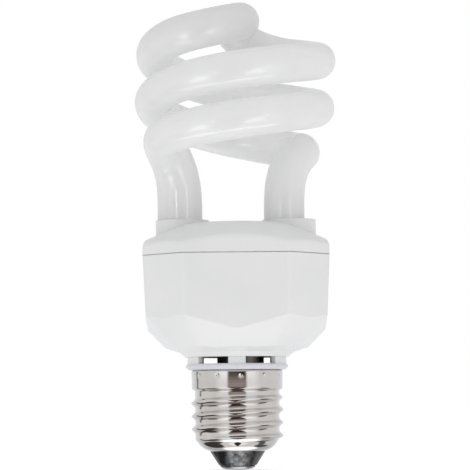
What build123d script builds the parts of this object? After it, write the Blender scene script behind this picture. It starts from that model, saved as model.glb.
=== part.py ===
from build123d import *
import math
import os

os.makedirs("parts", exist_ok=True)

# The lamp stands on its contact tip at the origin, +Z runs up its axis and -Y faces the viewer.

# Screw cap, E27
CREST_D = 26.1
ROOT_D = 23.9
PITCH = 3.629
THREAD_TURNS = 3.0
THREAD_START = 9.65
RIDGE_WIDTH = 2.9
SHELL_WALL = 0.35
COLLAR_D = 25.6
COLLAR_HEIGHT = 5.2
SHELL_HEIGHT = 22.8
SHELL_MOUTH_D = 15.8
SHELL_CURL = 3.9
CURL_SAG = 0.73
DIMPLE_COUNT = 12
DIMPLE_R = 1.5
DIMPLE_DEPTH = 0.2
DIMPLE_DROP = 1.7
DIMPLE_OFFSET = 5.0
CONTACT_D = 10.2
CONTACT_FLAT_D = 4.0
CONTACT_HEIGHT = 1.1
CONTACT_SAG = 0.28
CONTACT_SHEET = 0.5
EYELET_D = 3.0
EYELET_BORE = 2.0
INSULATOR_HEIGHT = 4.2
INSULATOR_FLOOR = 3.2

# Housing
HALF_FLATS = 25.9
FRONT_HALF = 14.8
CORNER_R = 2.6
DRAFT = 2.6
SEAM_Z = 59.65
SEAM_GAP = 0.11
WALL = 1.6
LEDGE = 0.8
FLANGE_D = 28.8
FLANGE_HEIGHT = 1.65
FLANGE_CHAMFER = 0.75
VENT_RING_D = 27.9
VENT_HEIGHT = 1.9
VENT_ARC = 40.0
VENT_SPACING = 60.0
NECK_LEDGE_D = 29.0
NECK_STEP_D = 32.2
NECK_STEP_HEIGHT = 1.35
FOOT_CONE_D = 40.9
FOOT_CONE_HEIGHT = 1.45
FOOT_ROUNDING = 0.28
SPIGOT_DEPTH = 5.0
SPIGOT_WALL = 1.5

# Cover
COVER_TOP = 69.2
COVER_FLAT_R = 12.4
CREST_R = 14.0
COVER_SLOPE = 24.0
SHOULDER_R = 1.5
LIP_GAP = 0.15
LIP_WALL = 1.25
SOCKET_SPACING = 30.2
SOCKET_D = 15.2
SOCKET_RISE = 1.1
SOCKET_DEPTH = 5.7

# Discharge tube
COIL_R = 23.2
TUBE_R = 5.32
COIL_PITCH = 27.28
COIL_START = 222.9
COIL_END = 586.3
COIL_START_Z = 92.7
CROWN_Z = 126.9
CROWN_TURN = 67.0
CROWN_EASE = 1.23
COIL_TILT = 1.98
COIL_PIVOT_Z = 78.0
COIL_SHIFT = -0.91
LEG_LEFT_X = -15.8
LEG_RIGHT_X = 13.75
LEG_LEFT_R = 6.35
LEG_RIGHT_R = 5.75
LEG_CLEARANCE = 4.0
LEG_TOP_Z = 75.9
BEND_RISE = 16.7
BEND_REACH = 11.1
BEND_SECTIONS = 8
ARC_STEP = 9.0
ARC_SHARE = 0.98
COIL_STEPS = 180
CROWN_STEPS = 60
CEMENT_HEIGHT = 1.2
CEMENT_RIM = 0.6

# Circuit board
BOARD_T = 1.6
BOARD_DROP = 3.65
BOARD_GAP = 0.2
FIT_GAP = 0.05
HOLE_GAP = 0.1
LEAD_R = 0.35
LEAD_BEND = 0.7
LEAD_PROUD = 1.0
SOLDER_R = 1.0
SOLDER_HEIGHT = 0.8
STANDOFF = 0.5
PIN_SIDE = 0.8
PIN_HEIGHT = 3.0
PIN_OFFSET = 3.5
LEG_LEAD_SPAN = 5.0
WIRE_R = 0.4
WIRE_BEND = 1.5
WRAP_WALL = 0.35
WRAP_HEIGHT = 1.2

# Parts under the board: places of their centres, then their own sizes
CAPACITOR_AT = (1.0, 0.0)
CAPACITOR_D = 13.2
CAPACITOR_HEIGHT = 21.0
CAPACITOR_FOOT_Z = 25.0
CAPACITOR_PITCH = 5.0
CAPACITOR_EDGE_R = 0.8
CHOKE_AT = (-13.0, 9.0)
CORE_WIDTH = 16.0
CORE_DEPTH = 5.0
CORE_PLATE = 2.2
CORE_SIDE = 2.7
CORE_STEM_D = 4.4
CHOKE_WINDOW = 6.0
BOBBIN_WALL = 0.8
BOBBIN_FLANGE = 10.0
WINDING_T = 1.5
BOBBIN_PITCH = 8.4
TOROID_AT = (12.5, 10.5)
TOROID_D = 9.6
TOROID_BORE = 5.2
TOROID_HEIGHT = 4.4
TOROID_DROP = 0.9
TURN_WIDTH = 2.2
TURN_T = 0.5
TURN_COUNT = 3
FRONT_TRANSISTOR_AT = (3.5, -17.5)
SIDE_TRANSISTOR_AT = (14.5, -14.0)
TRANSISTOR_SIZE = (8.0, 3.2, 10.5)
TRANSISTOR_DROP = 3.0
TRANSISTOR_PITCH = 2.3
TRANSISTOR_HOLE = 3.2
DIODE_AT = ((16.0, -9.5), (16.0, -6.2), (16.0, -2.9), (16.0, 0.4))
DIODE_SIZE = (2.7, 5.2)
DIODE_SPAN = 9.2
RESISTOR_AT = ((-3.0, -10.5), (0.0, -10.5), (3.0, -10.5), (6.0, -10.5))
RESISTOR_SIZE = (1.9, 3.6)
RESISTOR_SPAN = 6.0
FUSE_AT = (20.0, 9.0)
FUSE_SIZE = (2.8, 6.2)
FUSE_SPAN = 9.2
DIAC_AT = (2.0, 9.2)
DIAC_SIZE = (1.8, 3.4)
DIAC_SPAN = 6.0
FILM_EDGE_R = 0.7
RESONANCE_AT = (-13.0, -8.0)
RESONANCE_SIZE = (12.5, 6.0, 10.0)
RESONANCE_PITCH = 10.0
START_AT = (-10.0, -15.5)
START_SIZE = (9.5, 4.8, 8.5)
START_PITCH = 7.5
COUPLING_AT = (-6.0, 18.6)
COUPLING_SIZE = (7.0, 4.2, 8.0)
COUPLING_PITCH = 5.0
DRUM_AT = (3.0, 16.2)
DRUM_SIZE = (7.0, 9.0)
DRUM_PITCH = 4.0
CONTACT_WIRE_AT = (-3.0, 6.4)
CONTACT_WIRE_DROP = 4.4
CONTACT_WIRE_RUN = 6.6
SHELL_WIRE_AT = (5.5, 6.4)

# How far along a wall a 45 degree corner moves, for each unit that the wall moves in
MITRE = math.tan(math.radians(22.5))
STANDING = (Align.CENTER, Align.CENTER, Align.MIN)

# Heights stacked up from the contact tip
SHELL_FOOT_Z = CONTACT_HEIGHT + INSULATOR_HEIGHT
FLANGE_Z = SHELL_FOOT_Z + SHELL_HEIGHT
VENT_Z = FLANGE_Z + FLANGE_HEIGHT
STEP_Z = VENT_Z + VENT_HEIGHT
CONE_Z = STEP_Z + NECK_STEP_HEIGHT
RIM_Z = SEAM_Z - SEAM_GAP / 2
COVER_Z = SEAM_Z + SEAM_GAP / 2
BOARD_Z = SEAM_Z - BOARD_DROP
BOARD_TOP = BOARD_Z + BOARD_T
LEG_FOOT_Z = BOARD_TOP + LEG_CLEARANCE
COLLAR_Z = FLANGE_Z - COLLAR_HEIGHT
SPIGOT_R = COLLAR_D / 2 - SHELL_WALL - FIT_GAP
LIP_INSET = WALL + LIP_GAP
COVER_INSET = LIP_INSET + LIP_WALL


def turned(*points):
    """Solid of revolution about Z from an outline of (radius, height) corners."""
    return revolve(make_face(Plane.XZ * Polyline(*points, close=True)), Axis.Z)


def octagon(z, inset=0.0):
    """Square with cut corners at height z, its sides moved in by the inset."""
    half = HALF_FLATS - inset
    front = FRONT_HALF - inset * (math.sqrt(2) - 1)
    outline = Polyline(
        (half, -front), (half, front), (front, half), (-front, half),
        (-half, front), (-half, -front), (-front, -half), (front, -half), close=True)
    flat = make_face(outline)
    return Pos(0, 0, z) * fillet(flat.vertices(), CORNER_R)


def drafted_by(z):
    """How far the draft has moved the housing's sides in at a height under the seam."""
    return (SEAM_Z - z) * math.tan(math.radians(DRAFT))


def drafted(z_low, z_high, inset):
    """Eight-sided block that narrows downwards from the seam by the draft."""
    sections = [octagon(z, inset + drafted_by(z)) for z in (z_low, z_high)]
    return loft(sections, ruled=True)


def column(radius, z_low, z_high, x=0.0, y=0.0):
    """Upright cylinder between two heights."""
    return Pos(x, y, z_low) * Cylinder(radius, z_high - z_low, align=STANDING)


def block(width, depth, z_low, z_high, x=0.0, y=0.0):
    """Upright box between two heights."""
    return Pos(x, y, z_low) * Box(width, depth, z_high - z_low, align=STANDING)


def wire(points, radius, bend):
    """Round wire along straight runs with rounded corners."""
    path = FilletPolyline(*points, radius=bend)
    return sweep(Plane(origin=path @ 0, z_dir=path % 0) * Circle(radius), path=path)


# Screw cap

def shell_form(inset):
    """Turned form of the shell without its thread, curled foot to collar, moved in by the inset."""
    root = ROOT_D / 2 - inset
    mouth = SHELL_MOUTH_D / 2
    foot = SHELL_FOOT_Z + inset
    top_z = FLANGE_Z
    curl_top = SHELL_FOOT_Z + SHELL_CURL
    curl = SagittaArc((mouth, foot), (root, curl_top), -CURL_SAG)
    flare = (COLLAR_D - ROOT_D) / 2
    collar = COLLAR_Z + inset * MITRE
    wall = Polyline((root, curl_top), (root, collar - flare), (root + flare, collar), (root + flare, top_z))
    closing = Polyline((root + flare, top_z), (0, top_z), (0, foot), (mouth, foot))
    return revolve(make_face(Plane.XZ * (Curve() + [curl, wall, closing])), Axis.Z)


def thread_ridge():
    """Rounded ridge along a right-handed helix, rooted inside the wall of the shell."""
    root = ROOT_D / 2
    path = Pos(0, 0, THREAD_START) * Helix(PITCH, PITCH * THREAD_TURNS, root)
    sunk = SHELL_WALL / 2
    rise = (CREST_D - ROOT_D) / 2
    half = RIDGE_WIDTH / 2
    section = Plane(origin=path @ 0, x_dir=(1, 0, 0), z_dir=path % 0)
    top = ThreePointArc((-sunk, -half), (rise, 0), (-sunk, half))
    base = Line((-sunk, half), (-sunk, -half))
    return sweep(section * make_face(Curve() + [top, base]), path=path, is_frenet=True)


def screw_shell():
    """Thin nickelled shell with the rolled thread and a ring of staking dimples."""
    mouth = column(SHELL_MOUTH_D / 2, SHELL_FOOT_Z, SHELL_FOOT_Z + SHELL_CURL)
    shell = shell_form(0.0) - shell_form(SHELL_WALL) - mouth + thread_ridge()
    reach = COLLAR_D / 2 + DIMPLE_R - DIMPLE_DEPTH
    for i in range(DIMPLE_COUNT):
        turn = Rot(0, 0, DIMPLE_OFFSET - 90 + 360 / DIMPLE_COUNT * i)
        shell -= turn * Pos(reach, 0, FLANGE_Z - DIMPLE_DROP) * Sphere(DIMPLE_R)
    return shell


def cap_insulator():
    """Black glass plug that fills the foot of the shell and tapers to the contact."""
    gap = SHELL_WALL + FIT_GAP
    floor = SHELL_FOOT_Z + INSULATOR_FLOOR
    plug = shell_form(gap) & column(ROOT_D / 2, SHELL_FOOT_Z, floor)
    mouth = SHELL_MOUTH_D / 2 - FIT_GAP
    stem = column(mouth, SHELL_FOOT_Z - FIT_GAP, SHELL_FOOT_Z + gap + FIT_GAP)
    cone = turned((0, CONTACT_HEIGHT), (CONTACT_D / 2, CONTACT_HEIGHT), (mouth, SHELL_FOOT_Z - FIT_GAP),
                  (0, SHELL_FOOT_Z - FIT_GAP))
    bore = column(EYELET_D / 2 + FIT_GAP, 0, floor)
    return plug + stem + cone - bore


def centre_contact():
    """Domed contact plate with the eyelet that the contact wire comes through."""
    flat = CONTACT_FLAT_D / 2
    rim = CONTACT_D / 2
    dome = SagittaArc((flat, 0), (rim, CONTACT_HEIGHT), -CONTACT_SAG)
    closing = Polyline((rim, CONTACT_HEIGHT), (0, CONTACT_HEIGHT), (0, 0), (flat, 0))
    plate = revolve(make_face(Plane.XZ * (Curve() + [dome, closing])), Axis.Z)
    eyelet = column(EYELET_D / 2, CONTACT_HEIGHT, SHELL_FOOT_Z + INSULATOR_FLOOR + CONTACT_SHEET)
    return plate + eyelet - column(EYELET_BORE / 2, 0, FLANGE_Z)


def contact_solder():
    """Solder that closes the eyelet flush with the contact's flat."""
    return column(EYELET_BORE / 2 - FIT_GAP, 0, CONTACT_HEIGHT)


# Housing

def foot_profile(inset):
    """Turned outline of the housing's bottom, vent ring to upper cone, moved in by the inset."""
    top_z = SEAM_Z + SEAM_GAP
    foot_z = CONE_Z + FOOT_CONE_HEIGHT
    foot_r = FOOT_CONE_D / 2
    lift = inset * MITRE
    return [
        (VENT_RING_D / 2 - inset, STEP_Z + lift), (NECK_LEDGE_D / 2 - inset, STEP_Z + lift),
        (NECK_STEP_D / 2 - inset, CONE_Z + inset),
        (foot_r - lift, foot_z + inset), (foot_r - lift + top_z - foot_z, top_z + inset), (0, top_z + inset)]


def foot_section(z, radius):
    """Rounded sixteen-cornered face on a circle: a corner at the middle and at each end of every side."""
    end = math.atan2(FRONT_HALF, HALF_FLATS)
    turns = [i * math.pi / 2 + t for i in range(4) for t in (0, end, math.pi / 4, math.pi / 2 - end)]
    flat = make_face(Polyline(*[(radius * math.cos(t), radius * math.sin(t)) for t in turns], close=True))
    return Pos(0, 0, z) * fillet(flat.vertices(), radius * FOOT_ROUNDING)


def foot_slope(inset):
    """Facetted 45 degree slope that comes to a point under the middle of each side, moved in by the inset."""
    radius_at_zero = FOOT_CONE_D / 2 - CONE_Z - FOOT_CONE_HEIGHT - inset * math.sqrt(2)
    return loft([foot_section(z, radius_at_zero + z) for z in (STEP_Z, SEAM_Z)], ruled=True)


def lower_housing():
    """Eight-sided cup whose sloping bottom runs into the vented neck, the flange and the spigot."""
    vent_r = VENT_RING_D / 2
    flange_r = FLANGE_D / 2
    spigot_z = FLANGE_Z - SPIGOT_DEPTH
    bevel = flange_r - vent_r
    neck = [(0, spigot_z), (SPIGOT_R, spigot_z), (SPIGOT_R, FLANGE_Z), (flange_r - FLANGE_CHAMFER, FLANGE_Z),
            (flange_r, FLANGE_Z + FLANGE_CHAMFER), (flange_r, VENT_Z - bevel), (vent_r, VENT_Z)]
    sides = drafted(STEP_Z, RIM_Z, 0.0) & foot_slope(0.0)
    outside = sides + column(flange_r + WALL, spigot_z, STEP_Z)
    cup = turned(*neck, *foot_profile(0.0)) & outside
    bore_r = SPIGOT_R - SPIGOT_WALL
    bore = [(0, spigot_z), (bore_r, spigot_z), (bore_r, VENT_Z - WALL / 2), (vent_r - WALL, VENT_Z)]
    hollow = turned(*bore, *foot_profile(WALL))
    below = drafted(STEP_Z, BOARD_Z, WALL + LEDGE) & foot_slope(WALL)
    below += column(vent_r, spigot_z, CONE_Z)
    above = drafted(BOARD_Z, RIM_Z, WALL)
    cup -= hollow & (below + above)
    slot = Plane.XZ * Pos(vent_r, VENT_Z + VENT_HEIGHT / 2) * Rectangle(4 * WALL, VENT_HEIGHT)
    for side in (-90, 90):
        for middle in (side - VENT_SPACING / 2, side + VENT_SPACING / 2):
            cup -= Rot(0, 0, middle - VENT_ARC / 2) * revolve(slot, Axis.Z, VENT_ARC)
    return cup


def dome_profile(inset):
    """Turned dome of the cover: flat top, rounded crest, straight slope, moved in by the inset."""
    slope = math.radians(COVER_SLOPE)
    crest = CREST_R - inset
    top = COVER_TOP - inset
    centre_z = COVER_TOP - CREST_R
    crest_mid = (COVER_FLAT_R + crest * math.sin(slope / 2), centre_z + crest * math.cos(slope / 2))
    crest_end = (COVER_FLAT_R + crest * math.sin(slope), centre_z + crest * math.cos(slope))
    run = HALF_FLATS + FRONT_HALF
    low = (crest_end[0] + run, crest_end[1] - run * math.tan(slope))
    arc = ThreePointArc((COVER_FLAT_R, top), crest_mid, crest_end)
    rest = Polyline(crest_end, low, (0, low[1]), (0, top), (COVER_FLAT_R, top))
    return revolve(make_face(Plane.XZ * (Curve() + [arc, rest])), Axis.Z)


def top_cover():
    """Low eight-sided dome with a socket for each leg and a lip that plugs into the lower housing."""
    block_top = COVER_TOP + SEAM_GAP
    cover = extrude(octagon(COVER_Z), block_top - COVER_Z) & dome_profile(0.0)
    raised = cover.edges().filter_by(lambda e: e.center().Z - COVER_Z > SEAM_GAP)
    shoulder = raised.filter_by(lambda e: e.geom_type not in (GeomType.LINE, GeomType.CIRCLE))
    cover = fillet(shoulder, SHOULDER_R)
    cavity = extrude(octagon(COVER_Z, COVER_INSET), block_top - COVER_Z) & dome_profile(WALL)
    cover -= cavity
    for x in (-SOCKET_SPACING / 2, SOCKET_SPACING / 2):
        cover += column(SOCKET_D / 2, COVER_TOP - SOCKET_DEPTH, COVER_TOP + SOCKET_RISE, x)
    lip_low = BOARD_TOP + FIT_GAP
    lip = extrude(octagon(lip_low, LIP_INSET), COVER_Z - lip_low)
    cover += lip - extrude(octagon(lip_low, COVER_INSET), COVER_Z - lip_low)
    for x, radius in ((LEG_LEFT_X, LEG_LEFT_R), (LEG_RIGHT_X, LEG_RIGHT_R)):
        cover -= column(radius + HOLE_GAP, LEG_FOOT_Z, COVER_TOP + 2 * SOCKET_RISE, x)
    return cover


# Discharge tube

def leaned(point):
    """A point of the coil's own frame, with the coil leaned over and set on its legs."""
    tilt = math.radians(COIL_TILT)
    x, y, z = point
    z -= COIL_PIVOT_Z
    return Vector(x * math.cos(tilt) + z * math.sin(tilt) + COIL_SHIFT, y,
                  z * math.cos(tilt) - x * math.sin(tilt) + COIL_PIVOT_Z)


def coil_points(flip):
    """Centre line of one strand: a helix, then a curl inwards that levels out on the axis."""
    climb = COIL_PITCH / 360
    end_z = COIL_START_Z + climb * (COIL_END - COIL_START)
    points = []
    for i in range(COIL_STEPS):
        angle = COIL_START + (COIL_END - COIL_START) * i / COIL_STEPS
        points.append((COIL_R, angle, COIL_START_Z + climb * (angle - COIL_START)))
    for i in range(CROWN_STEPS + 1):
        share = i / CROWN_STEPS
        eased = share ** CROWN_EASE
        rise = eased ** 3 - 2 * eased ** 2 + eased
        blend = 3 * eased ** 2 - 2 * eased ** 3
        height = end_z * (1 - blend) + CROWN_Z * blend + rise * climb * 90
        points.append((COIL_R * math.cos(share * math.pi / 2), COIL_END + CROWN_TURN * share, height))
    placed = []
    for radius, angle, height in points:
        around = math.radians(angle)
        placed.append(leaned((flip * radius * math.cos(around), flip * radius * math.sin(around), height)))
    return placed


def evenly(points, count):
    """Points at equal distances along a chain of points, each with the chain's direction there."""
    lengths = [0.0]
    for a, b in zip(points, points[1:]):
        lengths.append(lengths[-1] + (b - a).length)
    spaced = []
    k = 0
    for i in range(count + 1):
        goal = lengths[-1] * i / count
        while k < len(points) - 2 and lengths[k + 1] < goal:
            k += 1
        run = points[k + 1] - points[k]
        share = (goal - lengths[k]) / (lengths[k + 1] - lengths[k])
        spaced.append((points[k] + run * share, run.normalized()))
    return spaced


def coil_path():
    """Chain of tangent arcs along both strands, from the left bend over the crown to the right bend."""
    chain = coil_points(1) + coil_points(-1)[-2::-1]
    total = sum((b - a).length for a, b in zip(chain, chain[1:]))
    stations = evenly(chain, 2 * round(total / ARC_STEP / 2))
    step = total / (len(stations) - 1)
    knots = [stations[0][0]]
    for (p, t), (q, u) in zip(stations, stations[1:]):
        knots.append((p + t * (step / 2) + q - u * (step / 2)) / 2)
    knots.append(stations[-1][0])
    radii = []
    for a, b, c in zip(knots, knots[1:], knots[2:]):
        turn = math.radians((b - a).get_angle(c - b))
        before = (b - a).length if a is knots[0] else (b - a).length / 2
        after = (c - b).length if c is knots[-1] else (c - b).length / 2
        radii.append(ARC_SHARE * min(before, after) / math.tan(turn / 2))
    return FilletPolyline(*knots, radius=radii)


def bend(leg_x, leg_r, end, direction):
    """Curved stretch from the top of a leg to the start of the coil, narrowing to the coil's bore."""
    start = Vector(leg_x, 0, LEG_TOP_Z)
    pull = start + Vector(0, 0, BEND_RISE)
    lead_in = end - direction * BEND_REACH
    side = Vector(1, 0, 0)
    sections = []
    for i in range(BEND_SECTIONS + 1):
        t = i / BEND_SECTIONS
        s = 1 - t
        place = start * s ** 3 + pull * (3 * s * s * t) + lead_in * (3 * s * t * t) + end * t ** 3
        along = (pull - start) * (s * s) + (lead_in - pull) * (2 * s * t) + (end - lead_in) * (t * t)
        along = along.normalized()
        side = (side - along * side.dot(along)).normalized()
        radius = leg_r + (TUBE_R - leg_r) * t
        sections.append(Plane(origin=place, x_dir=side, z_dir=along) * Circle(radius))
    return loft(sections)


def spiral_tube():
    """Sealed milky tube: leg, bend, coil, crown, coil, bend and leg in one piece."""
    path = coil_path()
    tube = sweep(Plane(origin=path @ 0, z_dir=path % 0) * Circle(TUBE_R), path=path)
    ends = ((LEG_LEFT_X, LEG_LEFT_R, path @ 0, path % 0), (LEG_RIGHT_X, LEG_RIGHT_R, path @ 1, -(path % 1)))
    for leg_x, leg_r, end, direction in ends:
        tube += bend(leg_x, leg_r, end, direction)
        tube += column(leg_r, LEG_FOOT_Z, LEG_TOP_Z, leg_x)
    return tube


def tube_cement():
    """Ring of cement round each leg, under its socket."""
    top = COVER_TOP - SOCKET_DEPTH
    rings = []
    for x, radius in ((LEG_LEFT_X, LEG_LEFT_R), (LEG_RIGHT_X, LEG_RIGHT_R)):
        ring = column(radius + CEMENT_RIM, top - CEMENT_HEIGHT, top, x)
        rings.append(ring - column(radius + FIT_GAP, top - CEMENT_HEIGHT, top, x))
    return Compound(rings)


# Circuit board and what it carries

def pair(at, span, along_y=False):
    """Two lead places either side of a centre."""
    x, y = at
    half = span / 2
    if along_y:
        return [(x, y - half), (x, y + half)]
    return [(x - half, y), (x + half, y)]


def corners(at, span):
    """Four lead places at the corners of a square."""
    return [spot for row in pair(at, span, along_y=True) for spot in pair(row, span)]


def turn_angles():
    """Directions of the windings round the drive toroid."""
    return [360 / TURN_COUNT * (i + 0.5) for i in range(TURN_COUNT)]


def turn_leads():
    """Place of the lead at the outer side of each winding."""
    reach = TOROID_D / 2 + FIT_GAP + TURN_T / 2
    spots = []
    for angle in turn_angles():
        around = math.radians(angle)
        spots.append((TOROID_AT[0] + reach * math.cos(around), TOROID_AT[1] + reach * math.sin(around)))
    return spots


def transistor_leads():
    """Three leads in a row under each transistor."""
    places = (FRONT_TRANSISTOR_AT, SIDE_TRANSISTOR_AT)
    return [(x + i * TRANSISTOR_PITCH, y) for x, y in places for i in (-1, 0, 1)]


def lead_places():
    """Every lead that passes the board, with its radius."""
    spots = pair(CAPACITOR_AT, CAPACITOR_PITCH) + corners(CHOKE_AT, BOBBIN_PITCH)
    spots += turn_leads() + transistor_leads()
    for at in DIODE_AT:
        spots += pair(at, DIODE_SPAN)
    for at in RESISTOR_AT:
        spots += pair(at, RESISTOR_SPAN, along_y=True)
    spots += pair(FUSE_AT, FUSE_SPAN, along_y=True) + pair(DIAC_AT, DIAC_SPAN)
    spots += pair(RESONANCE_AT, RESONANCE_PITCH) + pair(START_AT, START_PITCH)
    spots += pair(COUPLING_AT, COUPLING_PITCH) + pair(DRUM_AT, DRUM_PITCH)
    return [(spot, LEAD_R) for spot in spots] + [(CONTACT_WIRE_AT, WIRE_R), (SHELL_WIRE_AT, WIRE_R)]


def pin_places():
    """Wrap pins beside the feet of the two legs."""
    return pair((LEG_LEFT_X, -PIN_OFFSET), LEG_LEAD_SPAN) + pair((LEG_RIGHT_X, PIN_OFFSET), LEG_LEAD_SPAN)


def circuit_board():
    """Eight-sided board on the housing's ledge, with a hole for every lead and pin."""
    board = extrude(octagon(BOARD_Z, WALL + drafted_by(BOARD_Z) + BOARD_GAP), BOARD_T)
    for (x, y), radius in lead_places():
        board -= column(radius + HOLE_GAP, BOARD_Z, BOARD_TOP, x, y)
    side = PIN_SIDE + 2 * HOLE_GAP
    for x, y in pin_places():
        board -= block(side, side, BOARD_Z, BOARD_TOP, x, y)
    return board


def solder_joints():
    """Cone of solder round each lead on top of the board."""
    cones = []
    for (x, y), radius in lead_places():
        bore = radius + FIT_GAP
        cone = turned((bore, BOARD_TOP), (SOLDER_R, BOARD_TOP), (bore + HOLE_GAP, BOARD_TOP + SOLDER_HEIGHT),
                      (bore, BOARD_TOP + SOLDER_HEIGHT))
        cones.append(Pos(x, y, 0) * cone)
    return Compound(cones)


def with_leads(body, spots, z_low):
    """A body with straight leads that rise through the board."""
    for x, y in spots:
        body += column(LEAD_R, z_low, BOARD_TOP + LEAD_PROUD, x, y)
    return body


def storage_capacitor():
    """Electrolytic can that hangs down into the neck on long leads."""
    top = CAPACITOR_FOOT_Z + CAPACITOR_HEIGHT
    can = column(CAPACITOR_D / 2, CAPACITOR_FOOT_Z, top, *CAPACITOR_AT)
    can = fillet(can.edges().filter_by(GeomType.CIRCLE), CAPACITOR_EDGE_R)
    return with_leads(can, pair(CAPACITOR_AT, CAPACITOR_PITCH), top)


def choke_levels():
    """Heights of the choke: top of its core, upper flange, window, lower flange and foot."""
    top = BOARD_Z - STANDOFF
    upper = top - CORE_PLATE - FIT_GAP
    window_top = upper - BOBBIN_WALL
    window_foot = window_top - CHOKE_WINDOW
    lower = window_foot - BOBBIN_WALL
    return top, upper, window_top, window_foot, lower


def choke_core():
    """Ferrite core: two plates, two side legs and a round middle leg."""
    top, upper, window_top, window_foot, lower = choke_levels()
    foot = lower - FIT_GAP - CORE_PLATE
    x, y = CHOKE_AT
    frame = block(CORE_WIDTH, CORE_DEPTH, foot, top, x, y)
    frame -= block(CORE_WIDTH - 2 * CORE_SIDE, CORE_DEPTH, foot + CORE_PLATE, top - CORE_PLATE, x, y)
    return frame + column(CORE_STEM_D / 2, foot, top, x, y)


def choke_bobbin():
    """Bobbin on the middle leg, with two flanges and four pins."""
    top, upper, window_top, window_foot, lower = choke_levels()
    x, y = CHOKE_AT
    tube = column(CORE_STEM_D / 2 + FIT_GAP + BOBBIN_WALL, lower, upper, x, y)
    for foot in (lower, window_top):
        tube += block(BOBBIN_FLANGE, BOBBIN_FLANGE, foot, foot + BOBBIN_WALL, x, y)
    tube -= column(CORE_STEM_D / 2 + FIT_GAP, lower, upper, x, y)
    return with_leads(tube, corners(CHOKE_AT, BOBBIN_PITCH), upper)


def choke_winding():
    """Copper winding between the bobbin's flanges."""
    top, upper, window_top, window_foot, lower = choke_levels()
    inner = CORE_STEM_D / 2 + BOBBIN_WALL + 2 * FIT_GAP
    coil = column(inner + WINDING_T, window_foot + FIT_GAP, window_top - FIT_GAP, *CHOKE_AT)
    return coil - column(inner, window_foot, window_top, *CHOKE_AT)


def drive_toroid():
    """Ferrite ring of the drive transformer."""
    top = BOARD_Z - TOROID_DROP
    ring = column(TOROID_D / 2, top - TOROID_HEIGHT, top, *TOROID_AT)
    return ring - column(TOROID_BORE / 2, top - TOROID_HEIGHT, top, *TOROID_AT)


def drive_windings():
    """Three flat windings round the ring, each with a lead to the board."""
    top = BOARD_Z - TOROID_DROP
    ring = (TOROID_D - TOROID_BORE) / 2
    middle = (TOROID_D + TOROID_BORE) / 4
    bands = []
    for angle, spot in zip(turn_angles(), turn_leads()):
        inner = block(ring + 2 * FIT_GAP, TURN_WIDTH, top - TOROID_HEIGHT - FIT_GAP, top + FIT_GAP, middle)
        outer = block(ring + 2 * FIT_GAP + 2 * TURN_T, TURN_WIDTH, top - TOROID_HEIGHT - FIT_GAP - TURN_T,
                      top + FIT_GAP + TURN_T, middle)
        band = Pos(*TOROID_AT, 0) * Rot(0, 0, angle) * (outer - inner)
        band -= drive_toroid()
        bands.append(with_leads(band, [spot], top))
    return Compound(bands)


def power_transistors():
    """Two upright transistors with a mounting hole each."""
    width, depth, height = TRANSISTOR_SIZE
    top = BOARD_Z - TRANSISTOR_DROP
    spots = transistor_leads()
    bodies = []
    for i, (x, y) in enumerate((FRONT_TRANSISTOR_AT, SIDE_TRANSISTOR_AT)):
        body = block(width, depth, top - height, top, x, y)
        hole = Rot(90, 0, 0) * Cylinder(TRANSISTOR_HOLE / 2, 2 * depth)
        body -= Pos(x, y, top - height + TRANSISTOR_HOLE) * hole
        bodies.append(with_leads(body, spots[3 * i:3 * i + 3], top))
    return Compound(bodies)


def axial(at, size, span, along_y=False):
    """Round part lying under the board, its leads bent up through two holes."""
    diameter, length = size
    z = BOARD_Z - STANDOFF - diameter / 2
    (x0, y0), (x1, y1) = pair(at, span, along_y)
    top = BOARD_TOP + LEAD_PROUD
    lead = wire([(x0, y0, top), (x0, y0, z), (x1, y1, z), (x1, y1, top)], LEAD_R, LEAD_BEND)
    lying = Rot(90, 0, 0) if along_y else Rot(0, 90, 0)
    return lead + Pos(*at, z) * lying * Cylinder(diameter / 2, length)


def rectifier_diodes():
    """Four diodes of the bridge rectifier."""
    return Compound([axial(at, DIODE_SIZE, DIODE_SPAN) for at in DIODE_AT])


def base_resistors():
    """Four small resistors beside the transistors."""
    return Compound([axial(at, RESISTOR_SIZE, RESISTOR_SPAN, along_y=True) for at in RESISTOR_AT])


def fuse_resistor():
    """Fusible resistor in the supply."""
    return axial(FUSE_AT, FUSE_SIZE, FUSE_SPAN, along_y=True)


def trigger_diac():
    """Glass trigger diode that starts the oscillation."""
    return axial(DIAC_AT, DIAC_SIZE, DIAC_SPAN)


def film_capacitor(at, size, pitch):
    """Dipped film capacitor standing off the board."""
    width, depth, height = size
    top = BOARD_Z - STANDOFF
    body = block(width, depth, top - height, top, *at)
    body = fillet(body.edges(), FILM_EDGE_R)
    return with_leads(body, pair(at, pitch), top)


def resonance_capacitor():
    """Film capacitor across the tube."""
    return film_capacitor(RESONANCE_AT, RESONANCE_SIZE, RESONANCE_PITCH)


def start_capacitor():
    """Film capacitor of the starting circuit."""
    return film_capacitor(START_AT, START_SIZE, START_PITCH)


def coupling_capacitor():
    """Film capacitor that couples the bridge to the tube."""
    return film_capacitor(COUPLING_AT, COUPLING_SIZE, COUPLING_PITCH)


def input_choke():
    """Drum inductor in the supply, sleeved between its flanges."""
    diameter, height = DRUM_SIZE
    top = BOARD_Z - STANDOFF
    drum = column(diameter / 2, top - height, top, *DRUM_AT)
    waist = column(diameter / 2, top - height + BOBBIN_WALL, top - BOBBIN_WALL, *DRUM_AT)
    drum -= waist - column(diameter / 2 - BOBBIN_WALL / 2, top - height, top, *DRUM_AT)
    return with_leads(drum, pair(DRUM_AT, DRUM_PITCH), top)


def wrap_pins():
    """Square pins in the board that the tube's leads are wrapped on."""
    top = BOARD_TOP + PIN_HEIGHT
    return Compound([block(PIN_SIDE, PIN_SIDE, BOARD_Z, top, x, y) for x, y in pin_places()])


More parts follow.
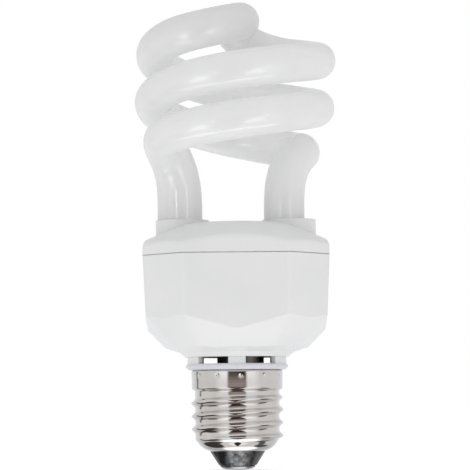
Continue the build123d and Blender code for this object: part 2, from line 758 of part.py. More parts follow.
def tube_leads():
    """Two leads from the foot of each leg, each ending in a wrap round its pin."""
    z = BOARD_TOP + PIN_HEIGHT / 2
    wrap_r = PIN_SIDE / math.sqrt(2) + FIT_GAP + WRAP_WALL
    side = PIN_SIDE + 2 * FIT_GAP
    leads = []
    for x, y in pin_places():
        lead = wire([(x, 0, LEG_FOOT_Z), (x, 0, z), (x, y, z)], LEAD_R, LEAD_BEND)
        lead += column(wrap_r, z - WRAP_HEIGHT / 2, z + WRAP_HEIGHT / 2, x, y)
        leads.append(lead - block(side, side, BOARD_Z, LEG_FOOT_Z, x, y))
    return Compound(leads)


def contact_wire():
    """Wire from the board past the capacitor into the contact's eyelet."""
    x, y = CONTACT_WIRE_AT
    turn_z = CAPACITOR_FOOT_Z - CONTACT_WIRE_DROP
    axis_z = turn_z - CONTACT_WIRE_RUN
    run = [(x, y, BOARD_TOP + LEAD_PROUD), (x, y, turn_z), (0, 0, axis_z), (0, 0, CONTACT_HEIGHT)]
    return wire(run, WIRE_R, WIRE_BEND)


def shell_wire():
    """Wire from the board to the inside of the screw shell, under the spigot."""
    x, y = SHELL_WIRE_AT
    z = FLANGE_Z - SPIGOT_DEPTH - SPIGOT_WALL
    reach = (ROOT_D / 2 - SHELL_WALL - FIT_GAP) / math.hypot(x, y)
    return wire([(x, y, BOARD_TOP + LEAD_PROUD), (x, y, z), (x * reach, y * reach, z)], WIRE_R, WIRE_BEND)


NODES = [
    spiral_tube, top_cover, lower_housing, screw_shell, cap_insulator, centre_contact, contact_solder,
    tube_cement, circuit_board, solder_joints, storage_capacitor, choke_core, choke_bobbin, choke_winding,
    drive_toroid, drive_windings, power_transistors, rectifier_diodes, base_resistors, fuse_resistor,
    trigger_diac, resonance_capacitor, start_capacitor, coupling_capacitor, input_choke, wrap_pins,
    tube_leads, contact_wire, shell_wire]

for make in NODES:
    export_step(make(), f"parts/{make.__name__}.step")
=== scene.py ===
"""Looks of the spiral bulb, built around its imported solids."""
import math

import bpy
import numpy as np
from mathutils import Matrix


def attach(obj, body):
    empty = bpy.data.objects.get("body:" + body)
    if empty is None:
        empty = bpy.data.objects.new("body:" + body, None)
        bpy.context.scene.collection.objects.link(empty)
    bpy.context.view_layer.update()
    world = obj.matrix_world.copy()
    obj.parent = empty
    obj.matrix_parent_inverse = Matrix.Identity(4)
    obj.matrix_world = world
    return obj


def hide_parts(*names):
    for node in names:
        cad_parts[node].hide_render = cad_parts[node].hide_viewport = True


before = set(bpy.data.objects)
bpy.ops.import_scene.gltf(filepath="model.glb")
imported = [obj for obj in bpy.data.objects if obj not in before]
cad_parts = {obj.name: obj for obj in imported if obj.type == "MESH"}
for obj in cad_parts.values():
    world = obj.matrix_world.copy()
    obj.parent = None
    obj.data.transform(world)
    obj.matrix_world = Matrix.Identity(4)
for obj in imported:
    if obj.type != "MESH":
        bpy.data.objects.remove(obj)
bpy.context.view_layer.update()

MM = 0.001
TAU = 2 * math.pi
QUARTER_TURN = 90

# Sizes of the bulb after its solids: lengths in millimetres, angles in degrees, thread runs in turns
COIL_R = 23.2
TUBE_R = 5.32
COIL_LEAD = 27.28
COIL_START = 222.9
COIL_END = 586.3
COIL_START_Z = 92.7
CROWN_Z = 126.9
CROWN_TURN = 67.0
CROWN_EASE = 1.23
COIL_TILT = 1.98
COIL_PIVOT_Z = 78.0
COIL_SHIFT = -0.91
LEGS = ((-15.8, 6.35), (13.75, 5.75))
LEG_FOOT_Z = 61.6
FOOT_ROUND = 2.0
POLE_SHARE = 0.0004
LEG_TOP_Z = 75.9
BEND_RISE = 16.7
BEND_REACH = 11.1
ROOT_R = 11.9
CREST_R = 13.02
PITCH = 3.629
THREAD_START = 9.65
THREAD_TURNS = 3.0
THREAD_SHARPNESS = 1.8
THREAD_LEAD_IN = 0.55
THREAD_RUN_OUT = 0.35
THREAD_FADE = 0.5
SHELL_WALL = 0.35
SHELL_FOOT_Z = 5.3
SHELL_TOP_Z = 28.02
SHELL_MOUTH_R = 7.9
CURL_TOP_Z = 9.2
CURL_BULGE = 0.73
COLLAR_R = 12.8
COLLAR_Z = 22.9
FLARE_RUN = 0.85
SPLAY_Z = 24.3
SPLAY = 0.0095
BRIM_RUN = 0.6
BRIM_INSET = 0.45
DIMPLE_COUNT = 12
DIMPLE_OFFSET = 5.0
DIMPLE_Z = 26.4
DIMPLE_DEPTH = 0.26
DIMPLE_SPREAD = 0.2

# Corners of the turned pieces as (radius, height, rounding), in millimetres
PLUG_CORNERS = (
    (1.55, 1.1, 0), (4.6, 1.1, 0.3), (5.35, 1.35, 0.45), (7.8, 5.25, 0.2), (7.85, 5.75, 0.2), (10.9, 7.9, 0.3),
    (10.6, 8.5, 0.4), (1.55, 8.5, 0))
CONTACT_CORNERS = (
    (1.0, 0.0, 0), (2.0, 0.0, 0.6), (4.4, 0.45, 0.5), (5.1, 1.1, 0.12), (1.5, 1.1, 0.05), (1.5, 9.0, 0.1),
    (1.0, 9.0, 0))

# Steps that the surfaces are worked out in
LEG_STEPS = 60
BEND_STEPS = 120
HELIX_STEPS = 400
CROWN_STEPS = 160
TUBE_STATIONS = 760
TUBE_SIDES = 56
PATH_EASE = 4
RADIUS_EASE = 6
CURL_STEPS = 26
WALL_STEPS = 120
SHELL_SEGMENTS = 336
PLUG_SEGMENTS = 160
CONTACT_SEGMENTS = 128
BEND_POINTS = 7


# Surfaces

def put_mesh(name, corners, faces, uv=None):
    """Object at the origin with these corners in millimetres and these faces, shaded smooth."""
    mesh = bpy.data.meshes.new(name)
    mesh.from_pydata((corners * MM).tolist(), [], faces)
    mesh.polygons.foreach_set("use_smooth", np.ones(len(faces), dtype=bool))
    if uv is not None:
        layer = mesh.uv_layers.new(name="along")
        loops = np.empty(len(mesh.loops), dtype=np.int32)
        mesh.loops.foreach_get("vertex_index", loops)
        layer.data.foreach_set("uv", uv[loops].astype(np.float32).ravel())
    mesh.update()
    piece = bpy.data.objects.new(name, mesh)
    bpy.context.scene.collection.objects.link(piece)
    return piece


def closed_grid(rows, columns, close_rows):
    """Faces of a grid whose columns close on themselves, and whose rows do too where asked."""
    row = np.arange(rows if close_rows else rows - 1)[:, None]
    column = np.arange(columns)[None, :]
    after = (row + 1) % rows
    beside = (column + 1) % columns
    corners = [row * columns + column, row * columns + beside,
               after * columns + beside, after * columns + column]
    whole = [np.broadcast_to(c, (len(row), columns)) for c in corners]
    return np.stack(whole, axis=-1).reshape(-1, 4).tolist()


def lathe(name, outline, segments):
    """Closed surface of revolution: each (radius, height) of the outline goes round Z in equal steps."""
    radius, height = np.asarray(outline, dtype=float).T
    angle = np.arange(segments) * TAU / segments
    around = np.stack([np.cos(angle), np.sin(angle)], axis=-1)
    flat = radius[:, None, None] * around[None]
    tall = np.broadcast_to(height[:, None, None], (len(height), segments, 1))
    corners = np.concatenate([flat, tall], axis=-1).reshape(-1, 3)
    return put_mesh(name, corners, closed_grid(len(radius), segments, True))


def unit(vectors):
    """Each row divided by its own length."""
    return vectors / np.linalg.norm(vectors, axis=-1, keepdims=True)


def strand(flip):
    """Centre line of one strand, from the start of its helix to the crown.

    The helix has the coil's radius and climbs one lead in a turn. The crown's curl after it has that radius
    times cos(s), and a height that eases from the helix's own climb to level on the axis. All of it leans over
    about the pivot."""
    climb = COIL_LEAD / 360
    turn = np.linspace(COIL_START, COIL_END, HELIX_STEPS)
    share = np.linspace(0, 1, CROWN_STEPS)[1:]
    eased = share ** CROWN_EASE
    end_z = COIL_START_Z + climb * (COIL_END - COIL_START)
    blend = eased ** 2 * (3 - 2 * eased)
    curl_z = end_z * (1 - blend) + CROWN_Z * blend + climb * QUARTER_TURN * eased * (1 - eased) ** 2
    radius = np.concatenate([np.full(len(turn), COIL_R), COIL_R * np.cos(share * math.pi / 2)])
    angle = np.radians(np.concatenate([turn, COIL_END + CROWN_TURN * share]))
    height = np.concatenate([COIL_START_Z + climb * (turn - COIL_START), curl_z]) - COIL_PIVOT_Z
    x, y = flip * radius * np.cos(angle), flip * radius * np.sin(angle)
    tilt = math.radians(COIL_TILT)
    leaned_x = x * math.cos(tilt) + height * math.sin(tilt) + COIL_SHIFT
    leaned_z = height * math.cos(tilt) - x * math.sin(tilt) + COIL_PIVOT_Z
    return np.stack([leaned_x, y, leaned_z], axis=-1)


def half_tube(flip, leg):
    """Path and radius of one half of the tube: an upright leg, a cubic bend, then the strand to the crown."""
    leg_x, leg_r = leg
    coil = strand(flip)
    heading = unit(coil[1] - coil[0])
    low = np.array([leg_x, 0.0, LEG_FOOT_Z])
    start = np.array([leg_x, 0.0, LEG_TOP_Z])
    t = np.linspace(0, 1, BEND_STEPS)[:-1, None]
    upright = low + (start - low) * np.linspace(0, 1, LEG_STEPS)[:-1, None]
    pull, lead_in, end = start + [0, 0, BEND_RISE], coil[0] - heading * BEND_REACH, coil[0]
    bend = start * (1 - t) ** 3 + 3 * pull * (1 - t) ** 2 * t + 3 * lead_in * (1 - t) * t ** 2 + end * t ** 3
    narrowing = leg_r + (TUBE_R - leg_r) * t[:, 0]
    radius = np.concatenate([np.full(len(upright), leg_r), narrowing, np.full(len(coil), TUBE_R)])
    return np.concatenate([upright, bend, coil]), radius


def eased_along(values, width):
    """Values along a path averaged with a bell-shaped weight, their ends held."""
    reach = 3 * width
    bell = np.exp(-0.5 * (np.arange(-reach, reach + 1) / width) ** 2)
    padded = np.pad(values, ((reach, reach), (0, 0)), mode="reflect", reflect_type="odd")
    return np.stack([np.convolve(c, bell / bell.sum(), mode="valid") for c in padded.T], axis=-1)


def spiral_tube(stations=TUBE_STATIONS, sides=TUBE_SIDES):
    """Round profile carried along leg, bend, coil, crown, coil, bend and leg.

    Stations are equally far apart. The profile's first side points away from the axis on the legs and up on the
    coil, turned square to the path, so the section never twists. Both feet close in a rounded end: there the
    radius follows a quarter circle down to a small face."""
    left, left_r = half_tube(1, LEGS[0])
    right, right_r = half_tube(-1, LEGS[1])
    path = np.concatenate([left, right[-2::-1]])
    radius = np.concatenate([left_r, right_r[-2::-1]])
    length = np.concatenate([[0], np.cumsum(np.linalg.norm(np.diff(path, axis=0), axis=1))])
    place = np.linspace(0, length[-1], stations)
    centre = np.stack([np.interp(place, length, c) for c in path.T], axis=-1)
    centre = eased_along(centre, PATH_EASE)
    radius = eased_along(np.interp(place, length, radius)[:, None], RADIUS_EASE)[:, 0]
    nearest_end = np.minimum(place, length[-1] - place)
    foot = np.clip(nearest_end / FOOT_ROUND, 0, 1)
    radius = radius * np.sqrt(np.clip(1 - (1 - foot) ** 2, POLE_SHARE, 1))
    along = unit(np.gradient(centre, axis=0))
    rise = np.clip((centre[:, 2:] - LEG_TOP_Z) / (COIL_START_Z - LEG_TOP_Z), 0, 1)
    rise = rise ** 2 * (3 - 2 * rise)
    outward = unit(centre * [1, 1, 0] + [1e-6, 0, 0])
    guide = rise * np.array([0.0, 0.0, 1.0]) + (1 - rise) * outward
    side = unit(guide - along * (guide * along).sum(1, keepdims=True))
    other = np.cross(along, side)
    angle = np.arange(sides) * TAU / sides
    ring = np.cos(angle)[None, :, None] * side[:, None] + np.sin(angle)[None, :, None] * other[:, None]
    corners = (centre[:, None] + radius[:, None, None] * ring).reshape(-1, 3)
    turn = np.broadcast_to(np.abs(angle / TAU - 0.5), (stations, sides))
    run = np.broadcast_to((place * MM)[:, None], (stations, sides))
    uv = np.stack([turn, run], axis=-1).reshape(-1, 2)
    first = np.arange(sides)
    ends = [first[::-1].tolist(), (first + (stations - 1) * sides).tolist()]
    return put_mesh("spiral_glass", corners, closed_grid(stations, sides, False) + ends, uv)


def shell_outline(inset):
    """Plain profile of the shell as (radius, height).

    The curled foot is a chord pushed out by a parabola. The wall above it flares to the collar by a smooth
    step, splays with the square of its height and turns in at the brim with a cube."""
    root = ROOT_R - inset
    swing = np.linspace(0, 1, CURL_STEPS)
    chord = np.stack([SHELL_MOUTH_R + (root - SHELL_MOUTH_R) * swing,
                      SHELL_FOOT_Z + inset + (CURL_TOP_Z - SHELL_FOOT_Z - inset) * swing], axis=-1)
    outward = unit(np.array([[CURL_TOP_Z - SHELL_FOOT_Z - inset, SHELL_MOUTH_R - root]]))
    curl = chord + outward * (CURL_BULGE * 4 * swing * (1 - swing))[:, None]
    wall_z = np.linspace(CURL_TOP_Z, SHELL_TOP_Z, WALL_STEPS)[1:]
    flare = np.clip((wall_z - (COLLAR_Z - FLARE_RUN)) / FLARE_RUN, 0, 1)
    brim = np.clip((wall_z - SHELL_TOP_Z + BRIM_RUN) / BRIM_RUN, 0, 1)
    splay = SPLAY * np.clip(wall_z - SPLAY_Z, 0, None) ** 2
    wall = root + (COLLAR_R - ROOT_R) * flare ** 2 * (3 - 2 * flare) + splay - BRIM_INSET * brim ** 3
    return np.concatenate([curl, np.stack([wall, wall_z], axis=-1)])


def screw_shell(segments=SHELL_SEGMENTS):
    """Thin shell: a turned profile with a rolled helical thread and a ring of punched dimples, inside and out.

    The thread adds its rise times a power of (0.5 + 0.5 cos(turns from the crest)) to the radius, faded at both
    ends of its run. A dimple takes away a bell shape centred on its place."""
    outside, inside = shell_outline(0.0), shell_outline(SHELL_WALL)
    outline = np.concatenate([outside, inside[::-1]])
    radius, height = outline[:, :1], outline[:, 1:]
    angle = (np.arange(segments) * TAU / segments)[None, :]
    turns = (height - THREAD_START) / PITCH
    start = angle / TAU
    crest = 0.5 + 0.5 * np.cos(TAU * (turns - start))
    begun = np.clip((turns + THREAD_LEAD_IN) / THREAD_FADE, 0, 1)
    left = np.clip((THREAD_TURNS + THREAD_RUN_OUT - turns) / THREAD_FADE, 0, 1)
    ran = begun * left
    ridge = (CREST_R - ROOT_R) * crest ** THREAD_SHARPNESS * ran * ran * (3 - 2 * ran)
    step = TAU / DIMPLE_COUNT
    off_angle = (angle - math.radians(DIMPLE_OFFSET - QUARTER_TURN) + step / 2) % step - step / 2
    off = (off_angle * COLLAR_R) ** 2 + (height - DIMPLE_Z) ** 2
    grown = radius + ridge - DIMPLE_DEPTH * np.exp(-off / DIMPLE_SPREAD)
    tall = np.broadcast_to(height, grown.shape)
    corners = np.stack([grown * np.cos(angle), grown * np.sin(angle), tall], axis=-1).reshape(-1, 3)
    return put_mesh("nickel_shell", corners, closed_grid(len(outline), segments, True))


def rounded(bends, steps=BEND_POINTS):
    """Outline through (radius, height, rounding) corners, each rounded corner a quadratic curve."""
    bends = np.asarray(bends, dtype=float)
    places = bends[:, :2]
    pieces = [places[:1]]
    t = np.linspace(0, 1, steps)[:, None]
    for before, corner, after in zip(bends, bends[1:], bends[2:]):
        a = corner[:2] + unit(before[:2] - corner[:2]) * corner[2]
        b = corner[:2] + unit(after[:2] - corner[:2]) * corner[2]
        pieces.append(a * (1 - t) ** 2 + 2 * corner[:2] * t * (1 - t) + b * t ** 2)
    return np.concatenate(pieces + [places[-1:]])


# Finishes

class Wire:
    """A shader socket that adds Math nodes when it is used in an expression."""

    def __init__(self, sheet, socket):
        self.sheet = sheet
        self.socket = socket

    def math(self, operation, *values):
        return self.sheet.add("ShaderNodeMath", {"operation": operation}, dict(enumerate(values)))

    def __add__(self, other):
        return self.math("ADD", self, other)

    __radd__ = __add__

    def __sub__(self, other):
        return self.math("SUBTRACT", self, other)

    def __rsub__(self, other):
        return self.math("SUBTRACT", other, self)

    def __mul__(self, other):
        return self.math("MULTIPLY", self, other)

    __rmul__ = __mul__

    def __truediv__(self, other):
        return self.math("DIVIDE", self, other)

    def ramp(self, low, high):
        """0 under low, 1 over high, smooth between."""
        return self.sheet.add("ShaderNodeMapRange", {"interpolation_type": "SMOOTHSTEP"},
                              {"Value": self, "From Min": low, "From Max": high})


class Sheet:
    """Node sheet of a material or of the world."""

    def __init__(self, tree):
        self.tree = tree
        tree.nodes.clear()

    def add(self, kind, settings=None, sockets=None, out=0):
        """Adds a node: its settings first, then the values or links of its sockets. Gives its output."""
        node = self.tree.nodes.new(kind)
        for key, value in (settings or {}).items():
            setattr(node, key, value)
        for key, value in (sockets or {}).items():
            if isinstance(value, Wire):
                self.tree.links.new(value.socket, node.inputs[key])
            else:
                node.inputs[key].default_value = value
        return Wire(self, node.outputs[out]) if node.outputs else None

    def mix(self, share, low, high):
        """Colour between two colours."""
        return self.add("ShaderNodeMix", {"data_type": "RGBA"}, {0: share, 6: low, 7: high}, out=2)

    def place(self, scale=(1, 1, 1), source="Object"):
        """Object or UV coordinates, stretched by a scale."""
        spot = self.add("ShaderNodeTexCoord", out=source)
        return self.add("ShaderNodeMapping", None, {"Vector": spot, "Scale": scale})

    def noise(self, scale, detail=3.0, rough=0.5, where=None):
        """Cloudy value about 0.5."""
        return self.add("ShaderNodeTexNoise", None, {
            "Vector": where or self.place(), "Scale": scale, "Detail": detail, "Roughness": rough})

    def axis(self, name):
        """One Object coordinate."""
        return self.add("ShaderNodeSeparateXYZ", None, {"Vector": self.place()}, out=name)

    def bump(self, height, depth, under=None):
        """Normal tipped by a height in units of the depth, in metres."""
        sockets = {"Height": height, "Distance": depth}
        if under:
            sockets["Normal"] = under
        return self.add("ShaderNodeBump", None, sockets)


def finish(name, build):
    """Material whose sheet ends in the shader that build returns."""
    material = bpy.data.materials.new(name)
    material.use_nodes = True
    sheet = Sheet(material.node_tree)
    sheet.add("ShaderNodeOutputMaterial", None, {"Surface": build(sheet)})
    return material


def grey(value, warm=0.0):
    """Colour of one brightness, a little warm or cool."""
    return (value * (1 + warm), value, value * (1 - warm), 1)


def milky_glass(s):
    """Hollow glass tube, glossy, with faint lines drawn along it.

    Its white coat lets some light through. Towards the crown it turns greyer: painted shade for the dimmer
    light up there."""
    cloud = s.noise(160, detail=4)
    drawn = s.noise(60, detail=1, where=s.place((0.4, 1.5, 1), "UV"))
    normal = s.bump(drawn, 0.00001)
    coat = s.mix(cloud.ramp(0.3, 0.7), grey(0.91), grey(0.93, -0.002))
    # Painted shade: the colour turns greyer at the top of the coil, where less light falls.
    crown_shade_low, crown_shade_high = 0.114, 0.124
    coat = s.mix(s.axis("Z").ramp(crown_shade_low, crown_shade_high), coat, grey(0.80))
    skin = s.add("ShaderNodeBsdfPrincipled", None, {
        "Base Color": coat, "IOR": 1.5, "Specular IOR Level": 0.9, "Roughness": cloud * 0.02 + 0.01,
        "Normal": normal})
    through = s.add("ShaderNodeBsdfTranslucent", None, {"Color": grey(0.98)})
    return s.add("ShaderNodeMixShader", None, {0: 0.45, 1: skin, 2: through})


def white_plastic(s):
    """Moulded white plastic, satin, with a faint orange peel and softened edges, bluish at the flange."""
    peel = s.noise(900, detail=3)
    mottle = s.noise(55, detail=3)
    soft = s.add("ShaderNodeBevel", {"samples": 4}, {"Radius": 0.0004})
    colour = s.mix(mottle.ramp(0.3, 0.7), grey(0.755, -0.004), grey(0.78, -0.002))
    flange_low, flange_high, flange_tint = 0.0285, 0.0308, (0.665, 0.678, 0.735, 1)
    colour = s.mix(s.axis("Z").ramp(flange_low, flange_high), flange_tint, colour)
    normal = s.bump(peel, 0.00004, under=soft)
    return s.add("ShaderNodeBsdfPrincipled", None, {
        "Base Color": colour, "Roughness": mottle * 0.1 + 0.28, "IOR": 1.48, "Normal": normal})


def nickel(s):
    """Bright nickel plate with fine turning lines and warm stains."""
    lines = s.noise(700, detail=4, where=s.place((0.15, 0.15, 6)))
    stain = s.noise(220, detail=4)
    colour = s.mix(stain.ramp(0.35, 0.75), (0.74, 0.73, 0.72, 1), (0.68, 0.66, 0.645, 1))
    normal = s.bump(lines, 0.000006)
    return s.add("ShaderNodeBsdfPrincipled", None, {
        "Base Color": colour, "Metallic": 1.0, "Roughness": stain * 0.06 + 0.02, "Normal": normal})


def black_glass(s):
    """Black glass plug, glossy, with a faintly wavy pressed skin and a mottled grey band of painted reflection
    about its middle.
    """
    wave = s.noise(420, detail=3)
    reflection_mottle = s.noise(650, detail=4, rough=0.6)
    across = s.axis("X")
    # Painted reflection: a mottled grey band about the middle of the plug, fading to the left and mostly gone
    # to the right.
    painted_reflection_band = across.ramp(-0.004, -0.001) * (1 - across.ramp(0.001, 0.004) * 0.9)
    return s.add("ShaderNodeBsdfPrincipled", None, {
        "Base Color": s.mix(reflection_mottle.ramp(0.2, 0.85) * painted_reflection_band, grey(0.014), grey(0.50, -0.02)),
        "Roughness": wave * 0.16 + 0.06, "IOR": 1.46, "Normal": s.bump(wave, 0.00025)})


def sleeve_with_painted_sheen(s):
    """Dark shrink sleeve with a grey stripe down one side, faded at its edges, that paints the lit sheen of the
    can on that side.
    """
    middle_x = 0.001
    across = s.axis("X")
    turn = across.math("ARCTAN2", across - middle_x, s.axis("Y") * -1.0)
    cloud = s.noise(300, detail=3)
    dark = s.mix(cloud, (0.03, 0.033, 0.03, 1), (0.05, 0.052, 0.047, 1))
    # Painted sheen: a graded grey stripe stands for the lit side of the can.
    colour = s.mix(turn.ramp(0.1, 0.5) * (1 - turn.ramp(0.55, 1.0)), dark, (0.66, 0.60, 0.54, 1))
    return s.add("ShaderNodeBsdfPrincipled", None, {
        "Base Color": colour, "Specular IOR Level": 1.0, "Roughness": cloud * 0.12 + 0.22,
        "Normal": s.bump(cloud, 0.00003)})


def metal(tint, roughness):
    """Plain plated metal of a tint, mottled in tint and roughness."""
    def build(s):
        cloud = s.noise(500, detail=4)
        dark = tuple(0.8 * c for c in tint) + (1,)
        return s.add("ShaderNodeBsdfPrincipled", None, {
            "Base Color": s.mix(cloud.ramp(0.3, 0.7), dark, (*tint, 1)), "Metallic": 1.0,
            "Roughness": cloud * 0.15 + roughness, "Normal": s.bump(cloud, 0.00003)})
    return build


def coated(tint, roughness, grain=700, depth=0.00004):
    """Plastic, lacquer or ceramic of a tint, mottled a little and grained."""
    def build(s):
        cloud = s.noise(120, detail=3)
        peel = s.noise(grain, detail=3)
        dark = tuple(0.82 * c for c in tint) + (1,)
        return s.add("ShaderNodeBsdfPrincipled", None, {
            "Base Color": s.mix(cloud.ramp(0.3, 0.7), dark, (*tint, 1)),
            "Roughness": cloud * 0.12 + roughness, "Normal": s.bump(peel, depth)})
    return build


def wound_copper(s):
    """Lacquered copper wire wound in close turns."""
    wave = s.add("ShaderNodeTexWave", {"wave_type": "BANDS", "bands_direction": "Z"},
                 {"Vector": s.place(), "Scale": 900.0, "Distortion": 0.4})
    colour = s.mix(wave, (0.30, 0.10, 0.035, 1), (0.66, 0.27, 0.10, 1))
    return s.add("ShaderNodeBsdfPrincipled", None, {
        "Base Color": colour, "Metallic": 0.8, "Roughness": 0.3, "Normal": s.bump(wave, 0.0001)})


PLASTIC = finish("white plastic", white_plastic)
NICKEL = finish("nickel plate", nickel)
BLACK_GLASS = finish("black glass", black_glass)
SOLDER = finish("solder", metal((0.62, 0.62, 0.63), 0.22))
FERRITE = finish("ferrite", coated((0.05, 0.05, 0.052), 0.6))
BLACK_RESIN = finish("black resin", coated((0.03, 0.03, 0.03), 0.45))
TINNED = finish("tinned wire", metal((0.66, 0.66, 0.67), 0.25))
COPPER = finish("wound copper", wound_copper)
RED_DIP = finish("red dip", coated((0.42, 0.07, 0.03), 0.2))
BEIGE = finish("beige lacquer", coated((0.62, 0.52, 0.36), 0.4))
SLEEVE = finish("white sleeve", coated((0.70, 0.69, 0.65), 0.5))

FINISH_OF = {
    "top_cover": PLASTIC, "lower_housing": PLASTIC, "contact_solder": SOLDER, "solder_joints": SOLDER,
    "tube_cement": finish("cement", coated((0.72, 0.68, 0.60), 0.85, 1500, 0.0001)),
    "circuit_board": finish("board laminate", coated((0.42, 0.28, 0.12), 0.5)),
    "storage_capacitor": finish("capacitor sleeve", sleeve_with_painted_sheen),
    "choke_core": FERRITE, "drive_toroid": FERRITE, "input_choke": FERRITE, "choke_bobbin": BLACK_RESIN,
    "choke_winding": COPPER, "drive_windings": COPPER, "power_transistors": BLACK_RESIN,
    "rectifier_diodes": BLACK_RESIN, "base_resistors": BEIGE, "fuse_resistor": BEIGE,
    "trigger_diac": finish("blue glass", coated((0.04, 0.12, 0.30), 0.15)),
    "resonance_capacitor": RED_DIP, "start_capacitor": RED_DIP, "coupling_capacitor": RED_DIP,
    "wrap_pins": TINNED, "tube_leads": TINNED, "contact_wire": SLEEVE, "shell_wire": SLEEVE}


def wear(piece, material):
    """Gives a piece this one material."""
    piece.data.materials.clear()
    piece.data.materials.append(material)


for node, material in FINISH_OF.items():
    wear(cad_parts[node], material)


def dress(piece, material, slot, *nodes):
    """A new piece takes a finish, rides on the bulb and stands for its solids."""
    wear(piece, material)
    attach(piece, "root")
    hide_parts(*nodes)


tube = spiral_tube()
dress(tube, finish("milky glass", milky_glass), "tube_glass", "spiral_tube")
shell = screw_shell()
dress(shell, NICKEL, "cap_nickel", "screw_shell")

plug = lathe("black_plug", rounded(PLUG_CORNERS), PLUG_SEGMENTS)
dress(plug, BLACK_GLASS, "cap_glass", "cap_insulator")
contact = lathe("contact_plate", rounded(CONTACT_CORNERS), CONTACT_SEGMENTS)
dress(contact, finish("contact plate", metal((0.52, 0.52, 0.53), 0.16)), "contact_metal", "centre_contact")


# Studio

def card(name, corners):
    """Flat four-cornered sheet of the studio, in metres."""
    mesh = bpy.data.meshes.new(name)
    mesh.from_pydata(corners, [], [(0, 1, 2, 3)])
    piece = bpy.data.objects.new(name, mesh)
    bpy.context.scene.collection.objects.link(piece)
    return piece


def degrees_ramp(angle, low, high):
    """Smooth step of an angle between two in degrees."""
    return angle.ramp(math.radians(low), math.radians(high))


def span(angle, low, high, soft_low, soft_high):
    """1 between two angles in degrees and 0 outside them, with an edge of its own width at each end."""
    rise = degrees_ramp(angle, low - soft_low, low + soft_low)
    fall = degrees_ramp(angle, high - soft_high, high + soft_high)
    return rise * (1 - fall)


def patch(turn, rise, centre, size, lean=0.0):
    """1 inside a soft-edged oval of directions and 0 outside it, all in degrees."""
    off_turn = turn - math.radians(centre[0])
    u = off_turn / math.radians(size[0])
    v = (rise - math.radians(centre[1]) - off_turn * lean) / math.radians(size[1])
    return 1 - (u * u + v * v).ramp(0.3, 1.3)


def oval(heading, centre, size):
    """1 inside an oval of directions that point down, by their X and Y, and 0 outside it."""
    u = (heading["X"] - centre[0]) / size[0]
    v = (heading["Y"] - centre[1]) / size[1]
    return (1 - (u * u + v * v).ramp(0.6, 1.2)) * (heading["Z"] * -1.0).ramp(0.3, 0.4)


def pale_floor(s):
    """White floor that stays white to the eye and keeps its soft shadow."""
    seen = s.add("ShaderNodeLightPath", out="Is Camera Ray")
    matt = s.add("ShaderNodeBsdfDiffuse", None, {"Color": grey(0.8)})
    veil = s.add("ShaderNodeEmission", None, {"Color": grey(1.0), "Strength": seen * 0.5})
    return s.add("ShaderNodeAddShader", None, {0: matt, 1: veil})


FLOOR_REACH = 3
floor = card("floor", [(x * FLOOR_REACH, y * FLOOR_REACH, 0) for x, y in ((-1, -1), (1, -1), (1, 1), (-1, 1))])
wear(floor, finish("pale floor", pale_floor))
floor.visible_glossy = False

glass_only = bpy.data.collections.new("glass only")
glass_only.objects.link(tube)


def lamp(name, place, size, tilt, turn, power, mirrored_only=False):
    """Soft rectangular lamp, in metres, degrees and watts.

    At a tilt of 90 it stands and faces back, at 180 it lies and faces up, and then it is turned about Z. One
    that is only mirrored reaches the glass alone."""
    data = bpy.data.lights.new(name, "AREA")
    data.shape = "RECTANGLE"
    data.size, data.size_y = size
    data.energy = power
    piece = bpy.data.objects.new(name, data)
    bpy.context.scene.collection.objects.link(piece)
    piece.location = place
    piece.rotation_euler = (math.radians(tilt), 0, math.radians(turn))
    piece.visible_camera = False
    piece.visible_diffuse = not mirrored_only
    piece.visible_glossy = mirrored_only
    if mirrored_only:
        piece.light_linking.receiver_collection = glass_only


lamp("low fill", (0, -0.05, 0.001), (0.7, 0.6), 180, 0, 0.64)

# Lamps that only the glass mirrors: a window on each side, a streak below and a line down each leg
GLINTS = (
    ("left window", (-0.206, -0.283, 0.004), (0.075, 0.40), 180, -36, 0.23),
    ("right window", (0.17, -0.306, 0.004), (0.075, 0.40), 180, 29, 0.195),
    ("low strip", (0, -0.055, 0.004), (0.07, 0.014), 180, 0, 0.0105),
    ("low strip left", (-0.059, -0.042, 0.004), (0.06, 0.014), 180, -28, 0.009),
    ("low strip right", (0.059, -0.042, 0.004), (0.06, 0.014), 180, 28, 0.009),
    ("left bar", (-0.068, -0.19, 0.085), (0.020, 0.03), 90, -20, 0.010),
    ("right bar", (0.118, -0.16, 0.085), (0.014, 0.03), 90, 36, 0.006))
for glint in GLINTS:
    lamp(*glint, mirrored_only=True)


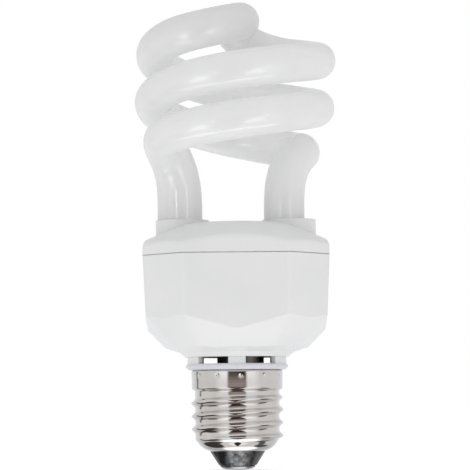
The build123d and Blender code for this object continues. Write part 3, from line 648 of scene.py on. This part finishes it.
def surround(s, turn, rise):
    """What bright metal mirrors, by the angle from the front and the height over the horizon.

    There is a lane straight ahead, dark below and paler above, a bright window on each side of it, warm walls
    with dark patches low down, and a pale wall behind that fades away from the horizon."""
    turned = turn.math("ABSOLUTE", turn)
    height = rise.math("ABSOLUTE", rise)
    behind = s.mix(degrees_ramp(height, 8, 40), (0.86, 0.87, 0.93, 1), grey(0.5))
    behind = s.mix(degrees_ramp(rise, 55, 75), behind, grey(0.28))
    colour = s.mix(degrees_ramp(turned, 118, 165), (0.77, 0.745, 0.725, 1), behind)
    windows = span(turn, -50, -24, 10, 3) + span(turn, 21, 52, 3, 12)
    colour = s.mix(windows, colour, s.mix(degrees_ramp(rise, -6, 2), grey(1.1), grey(0.86)))
    lane = s.mix(degrees_ramp(rise, -8, 6), (0.045, 0.035, 0.03, 1), (0.48, 0.385, 0.355, 1))
    lane = s.mix(degrees_ramp(rise, 4, 16), lane, (0.50, 0.48, 0.47, 1))
    lane = s.mix(degrees_ramp(rise, 20, 42), lane, (0.80, 0.79, 0.78, 1))
    narrowed = turned + (1 - degrees_ramp(rise, -16, 0)) * math.radians(5)
    colour = s.mix(degrees_ramp(narrowed, 28, 20), colour, lane)
    colour = s.mix(patch(turn, rise, (-80, -38), (26, 17), 0.3), colour, grey(0.08))
    colour = s.mix(patch(turn, rise, (-120, -12), (7, 18)), colour, grey(0.22))
    colour = s.mix(patch(turn, rise, (92, -39), (36, 15), -0.6), colour, grey(0.12))
    return colour


def studio_sky(s):
    """White to the eye, a soft sky for the light, dimmer at both sides, and the surround for reflections."""
    seen = s.add("ShaderNodeLightPath", out="Is Camera Ray")
    mirrored = s.add("ShaderNodeLightPath", out="Is Glossy Ray")
    heading = s.add("ShaderNodeTexCoord", out="Generated")
    split = {axis: s.add("ShaderNodeSeparateXYZ", None, {"Vector": heading}, out=axis) for axis in "XYZ"}
    turn = split["X"].math("ARCTAN2", split["X"], split["Y"] * -1.0)
    rise = split["Z"].math("ARCSINE", split["Z"])
    aside = split["X"].math("ABSOLUTE", split["X"])
    around = surround(s, turn, rise)
    around = s.mix(oval(split, (-0.55, 0.29), (0.25, 0.38)), around, grey(0.05))
    around = s.mix(oval(split, (0.48, 0.36), (0.12, 0.26)), around, grey(0.10))
    around = s.mix(oval(split, (0.05, 0.36), (0.33, 0.31)), around, grey(1.5))
    light = s.mix(split["Y"].ramp(0.2, 0.9), grey(0.86), grey(0.76))
    light = s.mix(aside.ramp(0.3, 1.0), light, grey(0.64))
    light = s.mix(split["Z"].ramp(0.15, 0.75), light, grey(0.94))
    colour = s.mix(seen, s.mix(mirrored, light, around), grey(1.0))
    return s.add("ShaderNodeBackground", None, {"Color": colour, "Strength": 1.0})


world = bpy.data.worlds.new("studio")
bpy.context.scene.world = world
world.use_nodes = True
sky = Sheet(world.node_tree)
sky.add("ShaderNodeOutputWorld", None, {"Surface": studio_sky(sky)})

# Camera at the photograph's height and distance, pitched up to the middle of the bulb
EYE_Z, EYE_DISTANCE, EYE_PITCH, EYE_ROLL = 0.01945, 0.600, 0.0778, 0.0087
FOCAL_PX, FRAME_PX, AXIS_PX, SENSOR_MM = 2123.7, 470.0, 237.3, 36.0
lens = bpy.data.cameras.new("eye")
lens.sensor_width = SENSOR_MM
lens.lens = FOCAL_PX / FRAME_PX * SENSOR_MM
lens.shift_x = -(AXIS_PX - FRAME_PX / 2) / FRAME_PX
eye = bpy.data.objects.new("eye", lens)
bpy.context.scene.collection.objects.link(eye)
eye.location = (0, -EYE_DISTANCE, EYE_Z)
eye.rotation_euler = (math.pi / 2 + EYE_PITCH, EYE_ROLL, 0)
bpy.context.scene.camera = eye
bpy.context.scene.view_settings.view_transform = "Standard"
